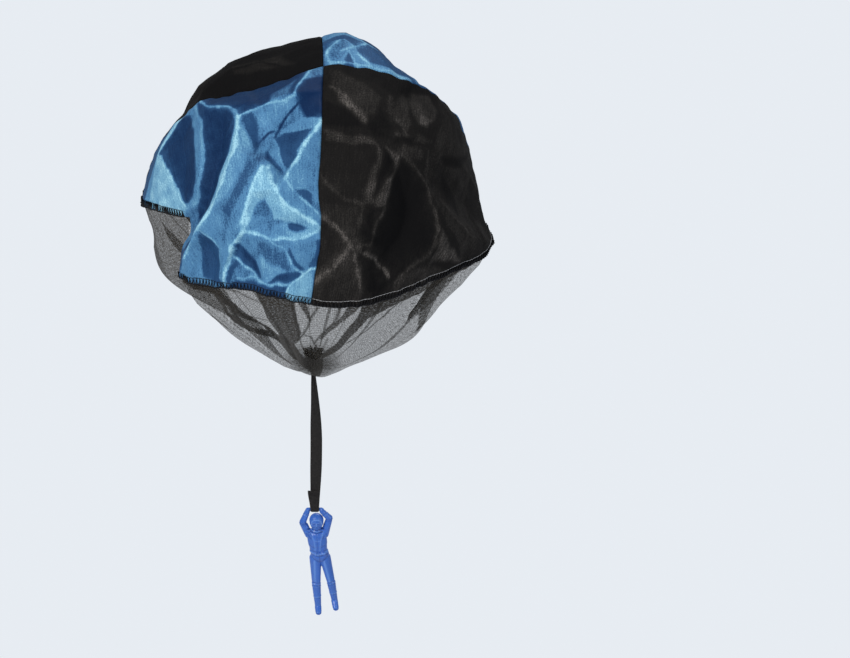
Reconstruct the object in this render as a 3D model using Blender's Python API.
"""Toy parachute, hanging open.

A crumpled cloth canopy of four panels, a gathered net skirt below it, and a moulded jumper who hangs
on a ribbon.
Metres, +Z up. The origin is the crown of the canopy, where the four seams cross. The front looks along -Y.
"""
import math

import bmesh
import bpy
from mathutils import Vector
from mathutils.geometry import delaunay_2d_cdt

# Sewn pieces
CLEARANCE = 0.0003
CANOPY_RADIUS = 0.155
CANOPY_DEPTH = 0.160
CLOTH_THICKNESS = 0.0006
FOLD_HEIGHT = 0.012
HEM_OFFSET = -0.0045
SEAM_SWAY = 0.006
ALLOWANCE_WIDTH = 0.005
ALLOWANCE_THICKNESS = 0.0008
ALLOWANCE_GAP = 0.0006
OVERLOCK_WIDTH = 0.0016
OVERLOCK_THICKNESS = 0.0014
NET_THICKNESS = 0.0005
NET_DEPTH = 0.150
NET_FOLD_HEIGHT = 0.010
GATHER_OFFSET = -0.008
NECK_RADIUS = 0.0026
NECK_LENGTH = 0.004
TIE_THREAD_RADIUS = 0.0006
BUNCH_LENGTH = 0.018
BUNCH_RADIUS = 0.0078

# Ribbon
KNOT_RADIUS = 0.0017
RIBBON_WIDTH = 0.0105
RIBBON_LOOP_WIDTH = 0.0078
RIBBON_PINCHED_WIDTH = 0.003
RIBBON_THICKNESS = 0.0008
STRAP_LENGTH = 0.069
LOOP_LENGTH = 0.072
RIBBON_OFFSET = 0.002
RIBBON_TAIL = 0.017
TACK_WIDTH = 0.008
TACK_HEIGHT = 0.0012
TACK_THICKNESS = 0.0005

# Jumper
FIGURE_HEIGHT = 0.1086
BAR_RADIUS = 0.0020

# The crown's curve, from a pointed arch at 1 to a box at a high number
CROWN_POWER = 2.35
PANEL_ROWS = 24
HEM_STEPS = 18
BUNCH_PLEATS = 12
FIGURE_DETAIL_SHARE = 0.0135

# How far the crumpled outline stands out or in, seen from the front and a little above, by angle from right
OUTLINE_LEAN = math.radians(30)
OUTLINE_MIDDLE_SHARE = 0.856
OUTLINE_REACH_SHARE = 0.98
OUTLINE_SHARES = (
    (0, 0.965), (12, 0.935), (25, 0.927), (35, 0.912), (48, 0.885), (58, 0.92), (67, 0.965), (75, 1.012),
    (84, 1.037), (90, 1.005), (103, 0.970), (122, 0.985), (136, 0.978), (147, 0.957), (158, 1.0), (172, 1.017),
    (183, 1.012), (196, 1.0), (335, 1.0), (346, 1.043), (353, 0.99), (360, 0.965),
)
# Where the hem ends along each panel, by angle round from the front, rising to the right
HEM_SHARES = (
    (0, 0.982), (10, 0.986), (22, 0.993), (35, 0.982), (44, 0.976), (55, 0.986), (65, 0.995), (80, 0.995),
    (90, 0.99), (105, 0.985), (120, 0.995), (140, 0.98), (160, 0.99), (180, 0.98), (200, 0.99), (215, 0.975),
    (235, 0.99), (250, 0.98), (262, 0.965), (270, 0.955), (280, 0.915), (290, 0.873), (300, 0.84),
    (305, 0.825),
    (310, 0.985), (315, 0.99), (322, 0.985), (330, 0.975), (340, 0.962), (350, 0.966), (360, 0.982),
)
HEM_RISE_SHARES = (
    (0, 0.0), (15, 0.3), (30, -0.2), (50, 0.1), (65, 0.4), (80, -0.3), (90, 0.0), (105, 0.5), (120, -0.4),
    (140, 0.4), (155, -0.3), (170, 0.3), (180, 0.0), (195, -0.4), (215, 0.5), (235, -0.3), (255, 0.3),
    (270, 0.1),
    (280, 0.2), (290, -0.2), (300, -0.6), (305, -0.8), (310, 0.4), (315, 0.5), (325, 0.3), (335, -0.1),
    (345, 0.3), (355, 0.3), (360, 0.0),
)
# Height of each seam above the smooth crown, by place from the crown to the hem
SEAM_RISE_SHARES = {
    "front": ((0, 0.0), (0.15, 0.0), (0.3, 0.3), (0.45, 0.0), (0.6, 0.1), (0.75, 0.2), (0.9, -0.1), (1, 0.0)),
    "right": ((0, 0.0), (0.1, 0.3), (0.2, 0.7), (0.35, 1.0), (0.45, 0.8), (0.6, 0.3), (0.8, 0.3), (1, 0.0)),
    "back": ((0, 0.0), (0.2, 0.1), (0.4, -0.2), (0.55, 0.3), (0.75, -0.2), (0.9, 0.2), (1, 0.0)),
    "left": (
        (0, 0.0), (0.12, -0.8), (0.25, -1.4), (0.38, -1.0), (0.48, -0.1), (0.65, 0.2), (0.8, 0.3), (1, 0.1),
    ),
}
SEAM_SWAY_SHARES = ((0, 0.0), (0.3, 0.0), (0.55, -0.4), (0.68, 0.4), (0.8, 0.3), (0.9, -0.4), (1, -0.9))

# Creases of each panel: places along its two seams from the crown, and the height there
FRONT_LEFT_SHARES = (
    ((0.03, 0.025, 0.1), (0.10, 0.07, 0.3), (0.16, 0.10, 0.5), (0.19, 0.18, 0.4), (0.225, 0.285, 0.7)),
    ((0.225, 0.285, 0.7), (0.15, 0.34, 0.5), (0.10, 0.40, 0.4), (0.04, 0.44, 0.3)),
    ((0.225, 0.285, 0.7), (0.33, 0.33, 0.5), (0.42, 0.39, 0.5), (0.50, 0.46, 0.5), (0.565, 0.60, 0.6)),
    ((0.565, 0.60, 0.6), (0.60, 0.69, 0.9)),
    ((0.05, 0.49, 0.3), (0.25, 0.475, 0.35), (0.42, 0.52, 0.2), (0.49, 0.56, -0.4)),
    ((0.20, 0.38, -0.2), (0.35, 0.42, -0.4), (0.45, 0.49, -0.5), (0.515, 0.57, -0.7)),
    ((0.04, 0.64, 0.3), (0.10, 0.735, 0.5), (0.30, 0.69, 0.1), (0.43, 0.64, -0.4)),
    ((0.13, 0.58, -0.3), (0.28, 0.59, -0.3)),
    ((0.10, 0.735, 0.5), (0.14, 0.83, 0.2)),
    ((0.20, 0.06, -0.1), (0.34, 0.17, -0.6), (0.345, 0.225, -0.7), (0.42, 0.20, -0.5), (0.49, 0.165, -0.3)),
    ((0.31, 0.02, 0.3), (0.42, 0.075, 0.5), (0.52, 0.14, 0.6), (0.58, 0.09, 0.2)),
    ((0.48, 0.24, 0.5), (0.56, 0.29, 0.6), (0.65, 0.345, 0.6), (0.72, 0.40, 0.4), (0.78, 0.50, 0.5)),
    ((0.48, 0.24, 0.5), (0.57, 0.185, 0.4), (0.66, 0.12, 0.5), (0.71, 0.04, 0.3)),
    ((0.60, 0.25, -0.2), (0.69, 0.22, -0.3), (0.72, 0.11, -0.3)),
    ((0.72, 0.34, 0.3), (0.77, 0.24, 0.4), (0.78, 0.11, 0.3)),
    ((0.86, 0.04, -0.1), (0.90, 0.15, 0.3), (0.86, 0.28, 0.1)),
    ((0.76, 0.42, -0.3), (0.82, 0.36, -0.4)),
)
FRONT_RIGHT_SHARES = (
    ((0.13, 0.04, 0.3), (0.21, 0.09, 0.5), (0.29, 0.165, 0.6), (0.37, 0.25, 0.3)),
    ((0.34, 0.04, 0.2), (0.37, 0.13, 0.3)),
    ((0.08, 0.27, 0.5), (0.18, 0.255, 0.6), (0.28, 0.31, 0.4), (0.37, 0.25, 0.3)),
    ((0.37, 0.25, 0.3), (0.40, 0.38, 0.2), (0.50, 0.53, 0.3), (0.64, 0.60, 0.5), (0.77, 0.51, 0.3)),
    ((0.43, 0.31, 0.1), (0.51, 0.28, 0.4), (0.61, 0.20, 0.3), (0.61, 0.10, 0.2), (0.54, 0.04, 0.2)),
    ((0.58, 0.42, -0.7), (0.70, 0.41, -0.6), (0.82, 0.33, -0.3)),
    ((0.69, 0.04, 0.2), (0.78, 0.15, 0.5), (0.88, 0.24, 0.3)),
    ((0.78, 0.15, 0.5), (0.90, 0.07, 0.2)),
    ((0.78, 0.15, 0.5), (0.70, 0.25, 0.3)),
    ((0.64, 0.60, 0.5), (0.62, 0.71, 0.4)),
    ((0.48, 0.62, 0.3), (0.49, 0.74, 0.3)),
    ((0.40, 0.60, -0.2), (0.35, 0.76, -0.4)),
    ((0.22, 0.75, 0.3), (0.20, 0.88, 0.2)),
    ((0.10, 0.53, 0.4), (0.28, 0.52, 0.3), (0.42, 0.49, 0.0)),
)
BACK_LEFT_SHARES = (
    ((0.05, 0.10, -0.4), (0.12, 0.20, -0.3), (0.12, 0.33, -0.3), (0.06, 0.46, -0.2)),
    ((0.12, 0.20, -0.3), (0.26, 0.24, -0.1), (0.38, 0.17, 0.0), (0.52, 0.10, -0.2)),
    ((0.26, 0.24, -0.1), (0.33, 0.37, -0.5), (0.30, 0.52, -0.1), (0.15, 0.62, -0.2)),
    ((0.33, 0.37, -0.5), (0.48, 0.40, 0.1), (0.60, 0.32, -0.3), (0.70, 0.18, 0.5)),
    ((0.48, 0.40, 0.1), (0.52, 0.56, -0.4), (0.44, 0.70, 0.5), (0.25, 0.78, -0.2)),
    ((0.60, 0.32, -0.3), (0.74, 0.40, 0.5), (0.66, 0.58, 0.3)),
    ((0.74, 0.40, 0.5), (0.88, 0.24, -0.2)),
    ((0.30, 0.52, -0.1), (0.44, 0.70, 0.5)),
)
BACK_RIGHT_SHARES = (
    ((0.06, 0.05, 0.3), (0.16, 0.14, 0.7), (0.30, 0.10, 0.2), (0.44, 0.18, 0.5), (0.56, 0.08, -0.2)),
    ((0.16, 0.14, 0.7), (0.22, 0.28, 0.0), (0.12, 0.40, 0.6), (0.20, 0.56, -0.3), (0.10, 0.72, 0.3)),
    ((0.22, 0.28, 0.0), (0.38, 0.34, -0.5), (0.44, 0.18, 0.5)),
    ((0.38, 0.34, -0.5), (0.40, 0.52, 0.5), (0.20, 0.56, -0.3)),
    ((0.40, 0.52, 0.5), (0.56, 0.46, -0.4), (0.62, 0.30, 0.5), (0.76, 0.20, -0.3), (0.86, 0.30, 0.3)),
    ((0.40, 0.52, 0.5), (0.38, 0.72, -0.3), (0.24, 0.84, 0.3)),
    ((0.56, 0.46, -0.4), (0.64, 0.60, 0.4), (0.56, 0.70, -0.2)),
)
PANELS = {
    "front_left": (lambda turn: -turn, "front", "left", FRONT_LEFT_SHARES),
    "front_right": (lambda turn: turn, "front", "right", FRONT_RIGHT_SHARES),
    "back_left": (lambda turn: 180 + turn, "back", "left", BACK_LEFT_SHARES),
    "back_right": (lambda turn: 180 - turn, "back", "right", BACK_RIGHT_SHARES),
}
EDGE_SHARE = 0.0013
CREASE_ROOM_SHARE = 0.034

# Net: how wide it is on the way to its gather, and its folds by angle, width, height, first and last place
NET_WIDTH_SHARES = (
    (0, 1.0), (0.1, 0.965), (0.25, 0.86), (0.45, 0.675), (0.65, 0.495), (0.8, 0.36), (0.9, 0.25), (0.96, 0.15),
    (1, 0.0),
)
NET_FOLD_SHARES = (
    (52, 30, 1.5, 0.2, 1.0), (26, 24, 0.5, 0.55, 1.0), (284, 26, 1.3, 0.12, 0.75),
    (12, 6, 0.6, 0.1, 0.9), (30, 7, -0.7, 0.2, 1.0), (48, 7, 0.8, 0.1, 0.9), (66, 8, -0.6, 0.2, 0.8),
    (88, 9, 0.6, 0.0, 0.8), (112, 9, -0.7, 0.1, 0.9), (138, 8, 0.7, 0.1, 0.9), (160, 8, -0.7, 0.2, 0.9),
    (184, 9, 0.7, 0.1, 0.9), (208, 8, -0.6, 0.1, 0.9), (232, 8, 0.6, 0.1, 0.8), (256, 9, -0.5, 0.0, 0.8),
    (278, 8, 0.5, 0.2, 0.9), (300, 8, -0.7, 0.3, 1.0), (318, 7, 0.8, 0.1, 0.9), (336, 7, -0.7, 0.1, 0.9),
    (352, 6, 0.5, 0.2, 1.0),
)
NET_ROW_SHARES = (0.0, 0.08, 0.18, 0.3, 0.45, 0.6, 0.75, 0.86, 0.95, 1.0)
NET_FINE_ROWS = 4
BUNCH_PROFILE_SHARES = ((0.45, 0.3), (0.8, 0.65), (1.0, 0.9), (0.8, 1.0))
BUNCH_PLEAT_SHARE = 0.1

# Ribbon: how soon the strap opens to its full width, and the places of its rows
STRAP_OPEN_SHARE = 1.1
STRAP_ROWS = 12
LOOP_RUN_SHARES = (0, 0.2, 0.4, 0.6, 0.78)
LOOP_SWELL_SHARES = ((0.35, 2.2), (0.0, 3.6))

# Jumper: blobs between two places, each with its width and depth at both ends, as shares of the height.
# Places run right, towards the back and up from the middle of the hand bar.
FIGURE_LIMB_SHARES = (
    # helmet, neck, chest, waist, hips
    ((0.015, 0.0, -0.122), (0.015, 0.0, -0.106), (0.060, 0.063), (0.058, 0.060)),
    ((0.016, 0.0, -0.20), (0.015, 0.0, -0.15), (0.034, 0.034), (0.034, 0.034)),
    ((0.026, 0.0, -0.32), (0.018, 0.0, -0.26), (0.080, 0.058), (0.084, 0.056)),
    ((0.036, 0.0, -0.42), (0.028, 0.0, -0.33), (0.068, 0.052), (0.076, 0.056)),
    ((0.044, 0.0, -0.455), (0.038, 0.0, -0.43), (0.076, 0.060), (0.074, 0.058)),
    # upper arms and forearms to the bar
    ((-0.056, 0.0, -0.245), (-0.101, 0.004, -0.130), (0.035, 0.036), (0.028, 0.029)),
    ((-0.101, 0.004, -0.130), (-0.073, 0.0, -0.006), (0.028, 0.029), (0.024, 0.025)),
    ((0.092, 0.0, -0.245), (0.119, 0.004, -0.090), (0.035, 0.036), (0.028, 0.029)),
    ((0.119, 0.004, -0.090), (0.073, 0.0, -0.004), (0.028, 0.029), (0.024, 0.025)),
    ((-0.080, 0.0, 0.0), (0.080, 0.0, 0.0), (0.0180, 0.0180), (0.0180, 0.0180)),
    # legs, then boots
    ((0.006, 0.0, -0.48), (0.008, -0.012, -0.71), (0.044, 0.050), (0.033, 0.037)),
    ((0.008, -0.012, -0.71), (0.026, 0.008, -0.94), (0.033, 0.038), (0.024, 0.028)),
    ((0.026, 0.006, -0.945), (0.030, -0.040, -0.974), (0.028, 0.028), (0.026, 0.024)),
    ((0.080, 0.0, -0.48), (0.136, -0.020, -0.71), (0.044, 0.050), (0.030, 0.036)),
    ((0.136, -0.020, -0.71), (0.160, 0.022, -0.895), (0.030, 0.037), (0.024, 0.028)),
    ((0.161, 0.020, -0.895), (0.172, -0.024, -0.942), (0.028, 0.028), (0.026, 0.024)),
    # reserve pack on the belly, pack on the back
    ((0.012, -0.058, -0.375), (0.056, -0.058, -0.375), (0.034, 0.024), (0.034, 0.024)),
    ((0.022, 0.058, -0.335), (0.022, 0.056, -0.255), (0.054, 0.026), (0.054, 0.026)),
)


def blend_table(shares, at):
    """Value of a table of (place, share) at one place, in straight lines between."""
    for (low, first), (high, last) in zip(shares, shares[1:]):
        if at <= high:
            return first + (last - first) * max(0.0, at - low) / (high - low)
    return shares[-1][1]


def crown_point(turn, reach):
    """Point of the crumple-free crown: turn in degrees from the front, reach from crown 0 to hem 1."""
    angle = min(reach, 1.0) * math.pi / 2
    radius = CANOPY_RADIUS * math.sin(angle) ** (2 / CROWN_POWER)
    depth = CANOPY_DEPTH * (1 - math.cos(angle) ** (2 / CROWN_POWER))
    side = math.radians(turn)
    nearness = math.exp(-(((turn + 180) % 360 - 180) / 24) ** 2)
    sway = SEAM_SWAY * blend_table(SEAM_SWAY_SHARES, reach) * nearness
    return Vector((HEM_OFFSET * reach + radius * math.sin(side) + sway, -radius * math.cos(side), -depth))


def crown_normal(turn, reach):
    angle = max(0.001, min(reach, 1.0)) * math.pi / 2
    outward = math.sin(angle) ** (2 - 2 / CROWN_POWER) / CANOPY_RADIUS
    upward = max(0.0, math.cos(angle)) ** (2 - 2 / CROWN_POWER) / CANOPY_DEPTH
    side = math.radians(turn)
    return Vector((outward * math.sin(side), -outward * math.cos(side), upward)).normalized()


def crumple_outline(point):
    """Moves a point out or in so the silhouette from the front and above has the cloth's own outline."""
    middle = Vector((HEM_OFFSET, 0, -CANOPY_DEPTH * OUTLINE_MIDDLE_SHARE))
    up = Vector((0, math.sin(OUTLINE_LEAN), math.cos(OUTLINE_LEAN)))
    away = Vector((0, -math.cos(OUTLINE_LEAN), math.sin(OUTLINE_LEAN)))
    offset = point - middle
    across, height = offset.x, offset.dot(up)
    angle = math.degrees(math.atan2(height, across)) % 360
    nearness = min(1.0, math.hypot(across, height) / (CANOPY_RADIUS * OUTLINE_REACH_SHARE))
    stretch = 1 + (blend_table(OUTLINE_SHARES, angle) - 1) * nearness ** 2
    return middle + away * offset.dot(away) + Vector((across * stretch, 0, 0)) + up * height * stretch


def cloth_point(turn, reach, rise):
    return crumple_outline(crown_point(turn, reach)) + crown_normal(turn, reach) * rise


def hem_reach(turn):
    return blend_table(HEM_SHARES, turn % 360)


def hem_rise(turn):
    return FOLD_HEIGHT * blend_table(HEM_RISE_SHARES, turn % 360)


def seam_rise(name, reach, hem):
    return FOLD_HEIGHT * blend_table(SEAM_RISE_SHARES[name], reach / hem)


def make_material(name, colour, roughness, metallic=0.0):
    material = bpy.data.materials.new(name)
    material.use_nodes = True
    shader = material.node_tree.nodes["Principled BSDF"]
    shader.inputs["Base Color"].default_value = colour
    shader.inputs["Roughness"].default_value = roughness
    shader.inputs["Metallic"].default_value = metallic
    material.diffuse_color = colour
    return material


def add_object(name, bm, colour, roughness=0.6, parent=None, smooth_angle=None):
    """Turns a bmesh into a named object with its own material; points are local to the parent's origin."""
    bmesh.ops.recalc_face_normals(bm, faces=bm.faces)
    mesh = bpy.data.meshes.new(name)
    bm.to_mesh(mesh)
    bm.free()
    if smooth_angle:
        mesh.shade_smooth()
        mesh.set_sharp_from_angle(angle=smooth_angle)
    mesh.materials.append(make_material(name, colour, roughness))
    thing = bpy.data.objects.new(name, mesh)
    bpy.context.collection.objects.link(thing)
    thing.parent = parent
    return thing


def add_pivot(name, place, parent=None):
    pivot = bpy.data.objects.new(name, None)
    bpy.context.collection.objects.link(pivot)
    pivot.parent = parent
    pivot.location = place
    pivot.empty_display_size = KNOT_RADIUS
    return pivot


def build_grid_solid(rings, closed_across=True, closed_along=False):
    """Solid from rows of points: closed_across joins a row's ends, closed_along joins last row to first."""
    bm = bmesh.new()
    rows = [[bm.verts.new(point) for point in ring] for ring in rings]
    count = len(rows[0])
    pairs = list(zip(rows, rows[1:])) + ([(rows[-1], rows[0])] if closed_along else [])
    for first, second in pairs:
        for index in range(count if closed_across else count - 1):
            after = (index + 1) % count
            bm.faces.new((first[index], first[after], second[after], second[index]))
    if not closed_along:
        bm.faces.new(rows[0])
        bm.faces.new(rows[-1])
    return bm


def find_height(place, corners, triangles, heights):
    """Height at a place inside a net of flat triangles."""
    for a, b, c in triangles:
        (ax, ay), (bx, by), (cx, cy) = corners[a], corners[b], corners[c]
        area = (bx - ax) * (cy - ay) - (cx - ax) * (by - ay)
        if abs(area) < 1e-12:
            continue
        second = ((place[0] - ax) * (cy - ay) - (cx - ax) * (place[1] - ay)) / area
        third = ((bx - ax) * (place[1] - ay) - (place[0] - ax) * (by - ay)) / area
        if second >= -1e-6 and third >= -1e-6 and second + third <= 1 + 1e-6:
            return heights[a] + (heights[b] - heights[a]) * second + (heights[c] - heights[a]) * third
    return 0.0


def triangulate(places, edges):
    corners, _, faces, sources, _, _ = delaunay_2d_cdt([Vector(place) for place in places], edges, [], 1, 1e-7)
    return [tuple(corner) for corner in corners], faces, sources


def segment_distance(place, first, last):
    along = Vector(last) - Vector(first)
    offset = Vector(place) - Vector(first)
    part = max(0.0, min(1.0, offset.dot(along) / max(1e-9, along.length_squared)))
    return (offset - along * part).length


def lay_out_panel(turn_of, first_seam, second_seam, crease_shares):
    """Flat pattern of one panel: border, creases and a filling of rows, with a height at each point."""
    border = []
    corner = hem_reach(turn_of(0)), hem_reach(turn_of(90))
    for step in range(1, HEM_STEPS):
        reach = step / HEM_STEPS * corner[0]
        border.append((reach, EDGE_SHARE, seam_rise(first_seam, reach, corner[0])))
    for step in range(HEM_STEPS + 1):
        turn = 90 * step / HEM_STEPS
        reach = hem_reach(turn_of(turn))
        place = [reach * math.cos(math.radians(turn)), reach * math.sin(math.radians(turn))]
        border.append((max(EDGE_SHARE, place[0]), max(EDGE_SHARE, place[1]), hem_rise(turn_of(turn))))
    for step in range(HEM_STEPS - 1, 0, -1):
        reach = step / HEM_STEPS * corner[1]
        border.append((EDGE_SHARE, reach, seam_rise(second_seam, reach, corner[1])))
    border.append((EDGE_SHARE, EDGE_SHARE, 0.0))

    points = list(border)
    edges = [(index, (index + 1) % len(border)) for index in range(len(border))]
    border_count = len(border)
    known = {}
    creases = []
    for line in crease_shares:
        for here, share in enumerate(line):
            if share[:2] not in known:
                known[share[:2]] = len(points)
                points.append((share[0], share[1], share[2] * FOLD_HEIGHT))
            if here:
                pair = (known[line[here - 1][:2]], known[share[:2]])
                if pair not in creases and pair[::-1] not in creases:
                    creases.append(pair)
    edges += creases
    corners, triangles, sources = triangulate([point[:2] for point in points], edges)
    heights = [points[source[0]][2] if source else 0.0 for source in sources]

    for row in range(1, PANEL_ROWS):
        for step in range(1, row):
            turn = 90 * step / row
            reach = row / PANEL_ROWS * hem_reach(turn_of(turn))
            place = reach * math.cos(math.radians(turn)), reach * math.sin(math.radians(turn))
            near_edge = any(segment_distance(place, points[a][:2], points[b][:2]) < CREASE_ROOM_SHARE
                            for a, b in creases)
            near_border = any(segment_distance(place, points[a][:2], points[b][:2]) < CREASE_ROOM_SHARE * 0.6
                              for a, b in edges[:border_count])
            if not near_edge and not near_border:
                points.append((*place, find_height(place, corners, triangles, heights)))
    corners, triangles, sources = triangulate([point[:2] for point in points], edges)
    rises = []
    for corner_place, source in zip(corners, sources):
        rises.append(points[source[0]][2] if source else find_height(corner_place, corners, triangles, rises))
    return corners, triangles, rises


def build_panel(turn_of, first_seam, second_seam, crease_shares):
    """One quarter of the canopy as a closed sheet with its main folds."""
    corners, triangles, rises = lay_out_panel(turn_of, first_seam, second_seam, crease_shares)
    bm = bmesh.new()
    sides = []
    for sink in (0.0, CLOTH_THICKNESS):
        verts = []
        for (along, across), rise in zip(corners, rises):
            reach = math.hypot(along, across)
            turn = turn_of(math.degrees(math.atan2(across, along)))
            verts.append(bm.verts.new(cloth_point(turn, reach, rise - sink)))
        sides.append(verts)
    used = {}
    for triangle in triangles:
        bm.faces.new([sides[0][index] for index in triangle])
        bm.faces.new([sides[1][index] for index in reversed(triangle)])
        for index in range(3):
            pair = triangle[index], triangle[(index + 1) % 3]
            used[pair] = True
    for first, last in list(used):
        if (last, first) not in used:
            bm.faces.new((sides[0][first], sides[0][last], sides[1][last], sides[1][first]))
    for vert in [vert for vert in bm.verts if not vert.link_faces]:
        bm.verts.remove(vert)
    return bm


def hem_frame(turn):
    """Hem point on the outer face, and the directions out of the cloth and out of its edge."""
    def place(at):
        return cloth_point(at, hem_reach(at), hem_rise(at))

    step = 90 / HEM_STEPS
    here = place(turn)
    outward = crown_normal(turn, hem_reach(turn))
    before, after = (here - place(turn - step)).normalized(), (place(turn + step) - here).normalized()
    along = (before + after).normalized()
    edge = along.cross(outward).normalized()
    if edge.z > 0:
        edge.negate()
    mitre = 1 / max(0.6, along.dot(after))
    return here, outward, edge * mitre


def build_overlock(first_turn, last_turn):
    """Thread bead along one panel's cut edge."""
    inset = math.degrees(EDGE_SHARE)
    rings = []
    low = CLOTH_THICKNESS / 2 + OVERLOCK_THICKNESS / 2
    high = OVERLOCK_THICKNESS / 2 - CLOTH_THICKNESS / 2
    for step in range(HEM_STEPS + 1):
        turn = first_turn + (last_turn - first_turn) * step / HEM_STEPS
        here, outward, edge = hem_frame(turn)
        if step in (0, HEM_STEPS):
            inward = math.copysign(inset, last_turn - first_turn) * (1 if step == 0 else -1)
            here = cloth_point(turn + inward, hem_reach(turn), hem_rise(turn))
        rings.append([here + edge * (CLEARANCE + reach * OVERLOCK_WIDTH) + outward * lift
                      for reach, lift in ((0, high), (1, high), (1, -low), (0, -low))])
    return build_grid_solid(rings)


def build_allowance(turn, seam):
    """Sewn and overlocked seam allowance, standing inside the canopy under one seam."""
    side = math.radians(turn)
    across = Vector((math.cos(side), math.sin(side), 0)) * ALLOWANCE_THICKNESS / 2
    rings = []
    hem = hem_reach(turn)
    for step in range(1, HEM_STEPS):
        reach = step / HEM_STEPS * hem
        place = cloth_point(turn, reach, seam_rise(seam, reach, hem))
        inward = -crown_normal(turn, reach)
        top = place + inward * (CLOTH_THICKNESS + ALLOWANCE_GAP)
        bottom = top + inward * ALLOWANCE_WIDTH
        rings.append([top - across, top + across, bottom + across, bottom - across])
    return build_grid_solid(rings)


def net_point(turn, reach):
    """Point in the middle of the net: reach 0 at the hem, 1 at the top of the neck."""
    here, outward, edge = hem_frame(turn)
    start = here + edge * (2 * CLEARANCE + OVERLOCK_WIDTH) - outward * CLOTH_THICKNESS / 2
    side = Vector((math.sin(math.radians(turn)), -math.cos(math.radians(turn)), 0))
    top = start - Vector((HEM_OFFSET, 0, start.z))
    radius = NECK_RADIUS + (top.dot(side) - NECK_RADIUS) * blend_table(NET_WIDTH_SHARES, reach)
    for angle, spread, height, first, last in NET_FOLD_SHARES:
        apart = abs((turn - angle + 180) % 360 - 180)
        if apart < spread and first < reach < last:
            along = math.sin(math.pi * (reach - first) / (last - first))
            across = 0.5 * (1 + math.cos(math.pi * apart / spread))
            radius += NET_FOLD_HEIGHT * height * along * across * min(1.0, radius / CANOPY_RADIUS * 3)
    middle = Vector((HEM_OFFSET + (GATHER_OFFSET - HEM_OFFSET) * reach, 0, 0))
    slide = top - side * top.dot(side)
    depth = start.z + (-CANOPY_DEPTH - NET_DEPTH - start.z) * reach
    return middle + side * radius + slide * (1 - reach) + Vector((0, 0, depth))


def net_normal(turn, reach):
    """Direction out of the net, square to its run down to the gather."""
    side = Vector((math.sin(math.radians(turn)), -math.cos(math.radians(turn)), 0))
    run = net_point(turn, min(1.0, reach + 0.02)) - net_point(turn, max(0.0, reach - 0.02))
    return (side * -run.z + Vector((0, 0, run.dot(side)))).normalized()


def build_net():
    """Gathered net skirt as one closed sheet, open at the hem and at its neck."""
    count = 4 * HEM_STEPS
    bm = bmesh.new()
    sheets = []
    for offset in (NET_THICKNESS / 2, -NET_THICKNESS / 2):
        rows = []
        for index, reach in enumerate(NET_ROW_SHARES):
            columns = count if index < NET_FINE_ROWS else count // 2
            turns = [360 * column / columns for column in range(columns)]
            rows.append([bm.verts.new(net_point(turn, reach) + net_normal(turn, reach) * offset)
                         for turn in turns])
        rows.append([])
        for turn in turns:
            side = Vector((math.sin(math.radians(turn)), -math.cos(math.radians(turn)), 0))
            below = Vector((0, 0, -NECK_LENGTH))
            rows[-1].append(bm.verts.new(net_point(turn, 1.0) + side * offset + below))
        sheets.append(rows)
        for first, second in zip(rows, rows[1:]):
            for column in range(len(second)):
                after = (column + 1) % len(second)
                if len(first) == len(second):
                    bm.faces.new((first[column], first[after], second[after], second[column]))
                else:
                    middle = first[2 * column + 1]
                    start, end = first[2 * column], first[(2 * column + 2) % len(first)]
                    bm.faces.new((start, middle, second[column]))
                    bm.faces.new((middle, second[after], second[column]))
                    bm.faces.new((middle, end, second[after]))
    for row in (0, -1):
        outer, inner = sheets[0][row], sheets[1][row]
        for column in range(len(outer)):
            after = (column + 1) % len(outer)
            bm.faces.new((outer[column], outer[after], inner[after], inner[column]))
    return bm


def build_turned(profile, middle, count, pleats=0, pleat_share=0.0):
    """Turned solid with a capped top and bottom; profile lists (radius, height) and pleats wave it."""
    rings = []
    for radius, height in profile:
        rings.append([middle + Vector((
            radius * (1 + pleat_share * math.cos(pleats * 2 * math.pi * step / count))
            * math.cos(2 * math.pi * step / count),
            radius * (1 + pleat_share * math.cos(pleats * 2 * math.pi * step / count))
            * math.sin(2 * math.pi * step / count), height)) for step in range(count)])
    return build_grid_solid(rings)


def build_tie(middle):
    """Binding thread: a ring of three turns lying against each other round the neck."""
    inner = NECK_RADIUS + NET_THICKNESS / 2 + CLEARANCE
    profile = []
    turns = 3
    for turn in range(turns):
        for step in range(5):
            angle = math.pi * (step / 4 - 0.5)
            profile.append((inner + TIE_THREAD_RADIUS * (1 + math.cos(angle)),
                            TIE_THREAD_RADIUS * (2 * turn + 1 + math.sin(angle))))
    profile = profile + [(inner, 2 * TIE_THREAD_RADIUS * turns), (inner, 0)]
    count = 16
    rings = [[middle + Vector((radius * math.cos(2 * math.pi * step / count),
                               radius * math.sin(2 * math.pi * step / count), height))
              for radius, height in profile] for step in range(count)]
    bm = build_grid_solid(rings, closed_along=True)
    bmesh.ops.remove_doubles(bm, verts=bm.verts, dist=TIE_THREAD_RADIUS / 20)
    return bm


def build_band(path, width_at, thickness):
    """Ribbon along a path of (across, depth, height) points, with a width at each."""
    rings = []
    for index, point in enumerate(path):
        here = Vector(point)
        before = Vector(path[max(0, index - 1)])
        after = Vector(path[min(len(path) - 1, index + 1)])
        along = after - before
        flat = Vector((0, along.y, along.z)).normalized()
        out = Vector((0, flat.z, -flat.y)) * thickness / 2
        half = Vector((width_at(index) / 2, 0, 0))
        rings.append([here - half - out, here + half - out, here + half + out, here - half + out])
    return build_grid_solid(rings)


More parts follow.
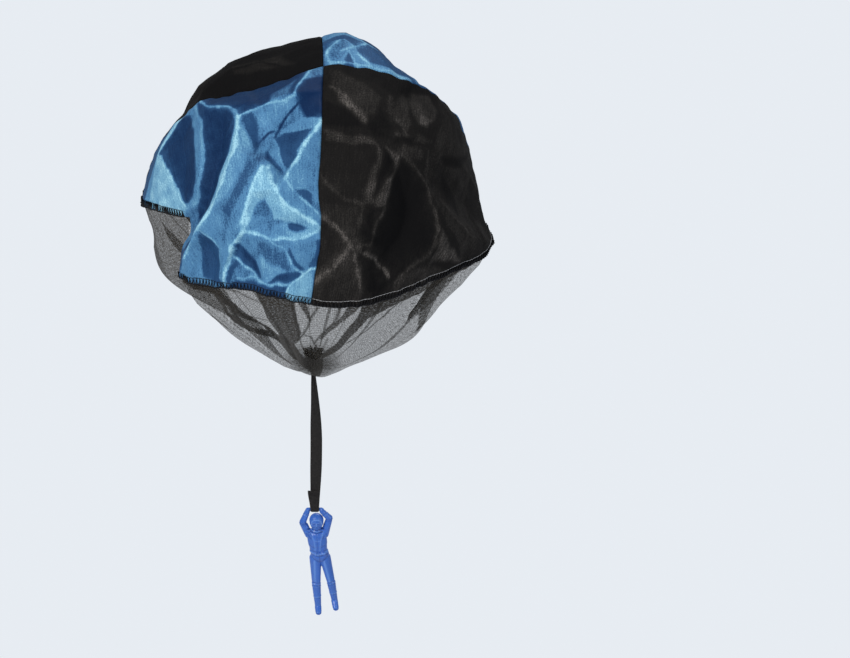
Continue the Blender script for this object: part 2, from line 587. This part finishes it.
def build_limb(bm, first, last, start, end):
    """Smooth blob between two places, with half width and half depth at each end."""
    along = last - first
    turn = Vector((0, 0, 1)).rotation_difference(along.normalized()).to_matrix().to_4x4()
    rings = []
    count = 12
    for step in range(1, 12):
        angle = math.pi * step / 12 - math.pi / 2
        part = 0.0 if angle < 0 else 1.0
        wide, deep = (start, end)[int(part)]
        ring = []
        for side in range(count):
            around = 2 * math.pi * side / count
            flat = math.cos(angle)
            local = Vector((wide * flat * math.cos(around), deep * flat * math.sin(around),
                            (wide + deep) / 2 * math.sin(angle) + along.length * part))
            ring.append(bm.verts.new(first + turn @ local))
        rings.append(ring)
    for low, high in zip(rings, rings[1:]):
        for side in range(count):
            after = (side + 1) % count
            bm.faces.new((low[side], low[after], high[after], high[side]))
    bm.faces.new(reversed(rings[0]))
    bm.faces.new(rings[-1])


def build_figure(name, pivot):
    """One-piece moulded jumper, hands on a bar over the helmet."""
    bm = bmesh.new()
    for first, last, start, end in FIGURE_LIMB_SHARES:
        build_limb(bm, Vector(first) * FIGURE_HEIGHT, Vector(last) * FIGURE_HEIGHT,
                   [size * FIGURE_HEIGHT for size in start], [size * FIGURE_HEIGHT for size in end])
    figure = add_object(name, bm, (0.045, 0.16, 0.58, 1), 0.35, pivot)
    skin = figure.modifiers.new("one_moulding", "REMESH")
    skin.mode = "VOXEL"
    skin.voxel_size = FIGURE_HEIGHT * FIGURE_DETAIL_SHARE
    skin.use_smooth_shade = True
    ease = figure.modifiers.new("ease", "SMOOTH")
    ease.factor = 0.5
    ease.iterations = 2
    thin = figure.modifiers.new("fewer_faces", "DECIMATE")
    thin.ratio = 0.6
    return figure


def build_canopy():
    blue, black, thread = (0.06, 0.19, 0.45, 1), (0.012, 0.012, 0.014, 1), (0.05, 0.05, 0.055, 1)
    colours = {"front_left": blue, "front_right": black, "back_left": black, "back_right": blue}
    turns = {"front_left": (0, -90), "front_right": (0, 90), "back_left": (180, 270), "back_right": (180, 90)}
    for side, (turn_of, first_seam, second_seam, creases) in PANELS.items():
        bm = build_panel(turn_of, first_seam, second_seam, creases)
        add_object(f"canopy_panel_{side}", bm, colours[side], 0.45)
        add_object(f"hem_overlock_{side}", build_overlock(*turns[side]), thread, 0.85)
    for turn, seam in ((0, "front"), (90, "right"), (180, "back"), (270, "left")):
        add_object(f"seam_allowance_{seam}", build_allowance(turn, seam), thread, 0.85)


def build_gather():
    neck_top = -CANOPY_DEPTH - NET_DEPTH
    add_object("net_skirt", build_net(), (0.02, 0.02, 0.02, 1), 0.9)
    middle = Vector((GATHER_OFFSET, 0, neck_top))
    stem = (NECK_RADIUS - NET_THICKNESS / 2 - CLEARANCE) / (1 + BUNCH_PLEAT_SHARE)
    bunch = [(stem, -NECK_LENGTH), (stem, 0)]
    bunch += [(BUNCH_RADIUS * wide, BUNCH_LENGTH * high) for wide, high in BUNCH_PROFILE_SHARES]
    tuft = build_turned(bunch, middle, 4 * BUNCH_PLEATS, BUNCH_PLEATS, BUNCH_PLEAT_SHARE)
    add_object("net_bunch", tuft, (0.015, 0.015, 0.015, 1), 0.9)
    ring = Vector((GATHER_OFFSET, 0, neck_top - NECK_LENGTH + CLEARANCE))
    add_object("tie_thread", build_tie(ring), (0.03, 0.03, 0.03, 1), 0.8)


def build_ribbon_and_figure():
    black = (0.02, 0.02, 0.022, 1)
    knot_top = -CANOPY_DEPTH - NET_DEPTH - NECK_LENGTH - CLEARANCE
    knot = add_pivot("knot_pivot", (GATHER_OFFSET, 0, knot_top - KNOT_RADIUS))
    ball = [(KNOT_RADIUS * math.sin(math.pi * step / 8), -KNOT_RADIUS * math.cos(math.pi * step / 8))
            for step in range(1, 8)]
    add_object("ribbon_gathered_end", build_turned(ball, Vector(), 16), black, 0.7, knot)

    strap_pivot = add_pivot("strap_pivot", Vector(), knot)
    top = -KNOT_RADIUS - CLEARANCE
    path = [(RIBBON_OFFSET / 2 * row / STRAP_ROWS, 0, top - STRAP_LENGTH * row / STRAP_ROWS)
            for row in range(STRAP_ROWS + 1)]

    def strap_width(row):
        opened = min(1.0, row / STRAP_ROWS / STRAP_OPEN_SHARE)
        return RIBBON_PINCHED_WIDTH + (RIBBON_WIDTH - RIBBON_PINCHED_WIDTH) * math.sin(math.pi / 2 * opened)

    add_object("ribbon_strap", build_band(path, strap_width, RIBBON_THICKNESS), black, 0.7, strap_pivot)

    twist = add_pivot("twist_pivot", (RIBBON_OFFSET / 2, 0, top - STRAP_LENGTH - CLEARANCE), strap_pivot)
    reach = BAR_RADIUS + CLEARANCE + RIBBON_THICKNESS / 2
    rest = RIBBON_THICKNESS + CLEARANCE
    bar = LOOP_LENGTH
    (swell, swell_height), (_, rest_height) = LOOP_SWELL_SHARES
    loop = [(0, 0, -bar * share) for share in LOOP_RUN_SHARES]
    loop += [(0, reach * swell, -bar + reach * swell_height)]
    loop += [(0, reach * math.cos(math.radians(angle)), -bar - reach * math.sin(math.radians(angle)))
             for angle in range(-30, 211, 20)]
    loop += [(0, -rest - reach * swell, -bar + reach * swell_height), (0, -rest, -bar + reach * rest_height),
             (0, -rest, -bar + RIBBON_TAIL)]

    def loop_width(row):
        below = min(1.0, max(0.0, -loop[row][2] / bar * 2 - 1))
        return RIBBON_WIDTH + (RIBBON_LOOP_WIDTH - RIBBON_WIDTH) * below ** 2

    add_object("ribbon_loop", build_band(loop, loop_width, RIBBON_THICKNESS), black, 0.7, twist)
    tack_front = -rest - RIBBON_THICKNESS / 2 - CLEARANCE
    tack_height = -bar + RIBBON_TAIL - 2 * TACK_HEIGHT
    rows = [[Vector((across * TACK_WIDTH / 2, tack_front - out * TACK_THICKNESS, height))
             for across, out in ((-1, 0), (1, 0), (1, 1), (-1, 1))]
            for height in (tack_height, tack_height - TACK_HEIGHT)]
    add_object("ribbon_stitching", build_grid_solid(rows), (0.05, 0.05, 0.055, 1), 0.8, twist)

    hands = add_pivot("hand_pivot", (0, 0, -bar), twist)
    build_figure("jumper_figure", hands)


for thing in list(bpy.data.objects):
    bpy.data.objects.remove(thing, do_unlink=True)
build_canopy()
build_gather()
build_ribbon_and_figure()
bpy.context.view_layer.update()
